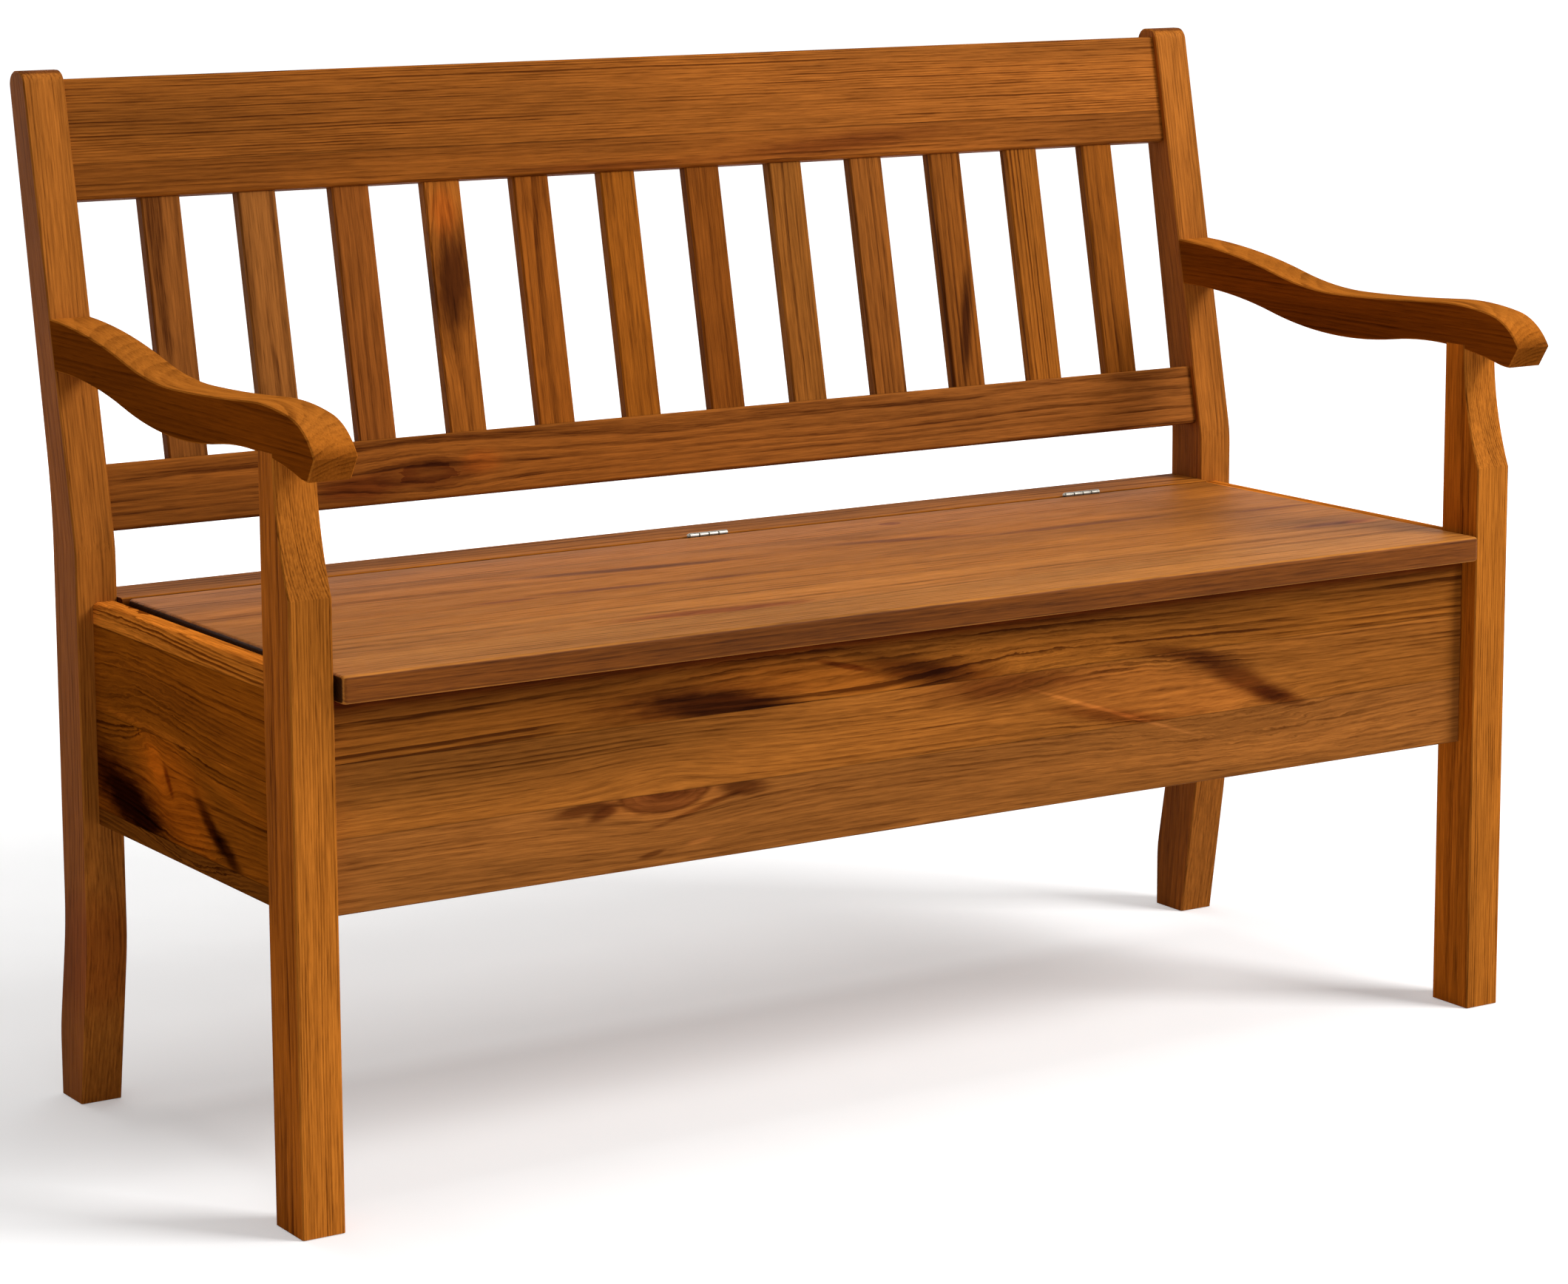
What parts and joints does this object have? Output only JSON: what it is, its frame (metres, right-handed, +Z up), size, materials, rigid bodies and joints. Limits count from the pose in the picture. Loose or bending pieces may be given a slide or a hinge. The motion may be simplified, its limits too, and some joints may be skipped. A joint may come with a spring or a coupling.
{
  "type": "settle bench with storage box",
  "caption": "Wooden bench with a slatted raked back, curved armrests and a storage box under a hinged seat lid.",
  "frame": {"origin": "on the floor, in the middle of the bench's length and depth", "axes": "+Z up, -Y the front of the bench, +X along its length"},
  "size_m": [1.28, 0.5868, 0.919],
  "materials": {
    "frame_wood": "oiled",
    "arm_wood": "oiled",
    "slat_wood": "oiled",
    "rail_wood": "oiled",
    "seat_wood": "oiled",
    "panel_wood": "oiled",
    "inner_wood": "plain",
    "dowel_wood": "plain",
    "hinge_steel": "zinc plated",
    "screw_steel": "zinc plated"
  },
  "bodies": {
    "frame": {"arm_dowels": "dowel_wood", "armrest_left": "arm_wood", "armrest_right": "arm_wood", "back_slat_01": "slat_wood", "back_slat_02": "slat_wood", "back_slat_03": "slat_wood", "back_slat_04": "slat_wood", "back_slat_05": "slat_wood", "back_slat_06": "slat_wood", "back_slat_07": "slat_wood", "back_slat_08": "slat_wood", "back_slat_09": "slat_wood", "back_slat_10": "slat_wood", "back_slat_11": "slat_wood", "back_slat_12": "slat_wood", "box_floor": "inner_wood", "cleat_screws": "screw_steel", "floor_cleat_front": "inner_wood", "floor_cleat_left": "inner_wood", "floor_cleat_rear": "inner_wood", "floor_cleat_right": "inner_wood", "front_leg_left": "frame_wood", "front_leg_right": "frame_wood", "front_panel": "panel_wood", "hinge_left_frame_leaf": "hinge_steel", "hinge_left_pin": "hinge_steel", "hinge_middle_frame_leaf": "hinge_steel", "hinge_middle_pin": "hinge_steel", "hinge_right_frame_leaf": "hinge_steel", "hinge_right_pin": "hinge_steel", "hinge_screws_frame": "screw_steel", "lower_back_rail": "rail_wood", "rear_panel": "panel_wood", "rear_post_left": "frame_wood", "rear_post_right": "frame_wood", "rear_seat_strip": "seat_wood", "side_panel_left": "panel_wood", "side_panel_right": "panel_wood", "strip_dowels": "dowel_wood", "top_rail": "rail_wood"},
    "lid": {"hinge_left_lid_leaf": "hinge_steel", "hinge_middle_lid_leaf": "hinge_steel", "hinge_right_lid_leaf": "hinge_steel", "hinge_screws_lid": "screw_steel", "lid_batten_left": "inner_wood", "lid_batten_middle": "inner_wood", "lid_batten_right": "inner_wood", "lid_batten_screws": "screw_steel", "seat_lid": "seat_wood"}
  },
  "joints": [
    {"name": "lid_hinge", "type": "hinge", "parent": "frame", "child": "lid", "pos_m": [0, 0.16806, 0.463], "axis": [-1, 0, 0], "range_deg": [0, 102.5]}
  ]
}
